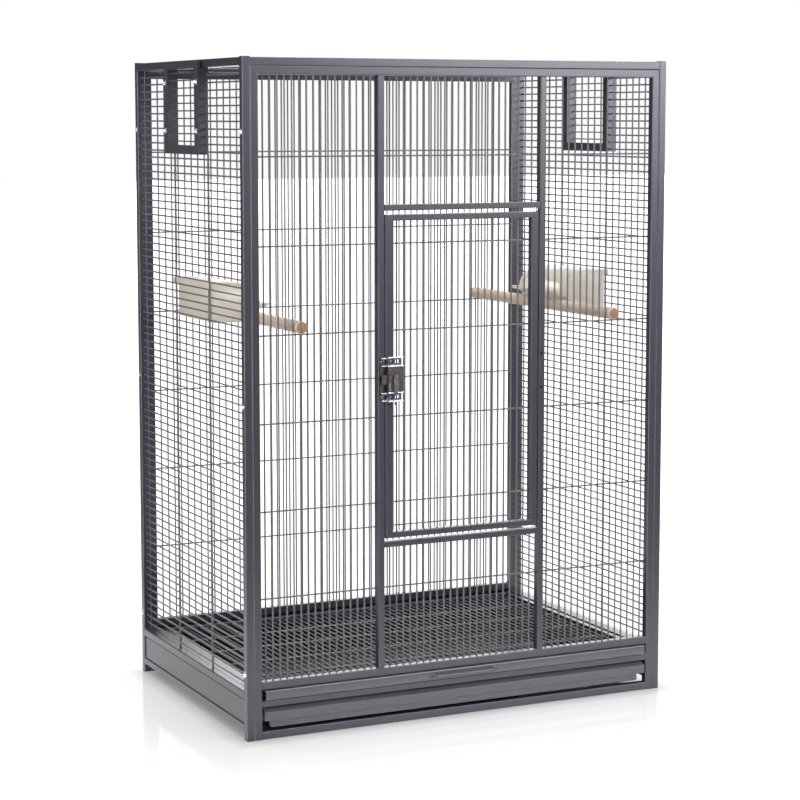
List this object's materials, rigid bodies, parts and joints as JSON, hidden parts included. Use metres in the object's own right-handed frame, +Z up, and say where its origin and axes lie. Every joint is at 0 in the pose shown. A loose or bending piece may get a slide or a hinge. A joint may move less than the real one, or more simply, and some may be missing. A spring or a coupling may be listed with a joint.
{
  "type": "flight bird cage",
  "caption": "Tall framed wire flight cage with a hinged front door and latch, pull-out grate and tray, hooded feeding cups, wooden perches and screwed nest covers.",
  "frame": {"origin": "middle of the cage's footprint on the floor, midway between the foremost point of the grate handle and the rear ends of the perches", "axes": "+X to the right seen from the front, +Y from front to back, +Z up"},
  "size_m": [0.8114, 0.5391, 1.1122],
  "materials": {
    "coated_steel": "dark grey powder coat, satin",
    "zinc": "bright zinc plate",
    "cream_plastic": "moulded, slightly glossy",
    "beech": "sanded, unvarnished",
    "black_plastic": "matt"
  },
  "bodies": {
    "cage": {"left_posts": "coated_steel", "left_rails": "coated_steel", "left_wires": "coated_steel", "right_posts": "coated_steel", "right_rails": "coated_steel", "right_wires": "coated_steel", "skirt_plates": "coated_steel", "cup_uprights": "coated_steel", "post_plugs": "black_plastic", "panel_screws": "zinc", "nest_frame_left": "coated_steel", "nest_frame_right": "coated_steel", "nest_cover_left": "coated_steel", "nest_cover_right": "coated_steel", "nest_screws": "zinc", "front_stiles": "coated_steel", "front_top_rail": "coated_steel", "front_rails": "coated_steel", "front_mullions": "coated_steel", "front_crossbars": "coated_steel", "front_bars": "coated_steel", "front_crosswires": "coated_steel", "back_stiles": "coated_steel", "back_top_rail": "coated_steel", "back_rails": "coated_steel", "back_bars": "coated_steel", "back_crosswires": "coated_steel", "roof_rails": "coated_steel", "roof_side_rails": "coated_steel", "roof_bars": "coated_steel", "roof_crosswires": "coated_steel", "roof_bolts": "zinc", "hinge_pins": "zinc", "latch_keeper": "black_plastic", "keeper_legs": "black_plastic", "keeper_flanges": "zinc", "keeper_bolts": "zinc", "left_runner": "coated_steel", "right_runner": "coated_steel", "cup_left": "cream_plastic", "cup_right": "cream_plastic", "perch_left": "beech", "perch_right": "beech"},
    "door": {"door_stiles": "coated_steel", "door_rails": "coated_steel", "door_bars": "coated_steel", "door_crosswires": "coated_steel", "latch_case": "black_plastic", "latch_brackets": "zinc", "latch_rivet": "zinc"},
    "lever": {"latch_lever": "zinc"},
    "tongue": {"latch_tongue": "zinc"},
    "grate": {"grate_front": "coated_steel", "grate_side_bars": "coated_steel", "grate_back_bar": "coated_steel", "grate_wires": "coated_steel", "grate_crosswires_row": "coated_steel", "grate_handle": "coated_steel"},
    "tray": {"tray_front": "coated_steel", "tray_pan": "coated_steel"}
  },
  "joints": [
    {"name": "door_hinge", "type": "hinge", "parent": "cage", "child": "door", "pos_m": [0.1405, -0.248, 0.583], "axis": [0, 0, 1], "range_deg": [0, 105]},
    {"name": "lever_turn", "type": "hinge", "parent": "door", "child": "lever", "pos_m": [-0.13, -0.262, 0.587], "axis": [0, 1, 0], "range_deg": [0, 70]},
    {"name": "tongue_slide", "type": "slide", "parent": "door", "child": "tongue", "axis": [-1, 0, 0], "range_m": [0, 0.009]},
    {"name": "grate_slide", "type": "slide", "parent": "cage", "child": "grate", "axis": [0, -1, 0], "range_m": [0, 0.4]},
    {"name": "tray_slide", "type": "slide", "parent": "cage", "child": "tray", "axis": [0, -1, 0], "range_m": [0, 0.4]}
  ],
  "couplings": [
    {"joint": "lever_turn", "follows": "tongue_slide", "rad_per_m": 135.7}
  ]
}
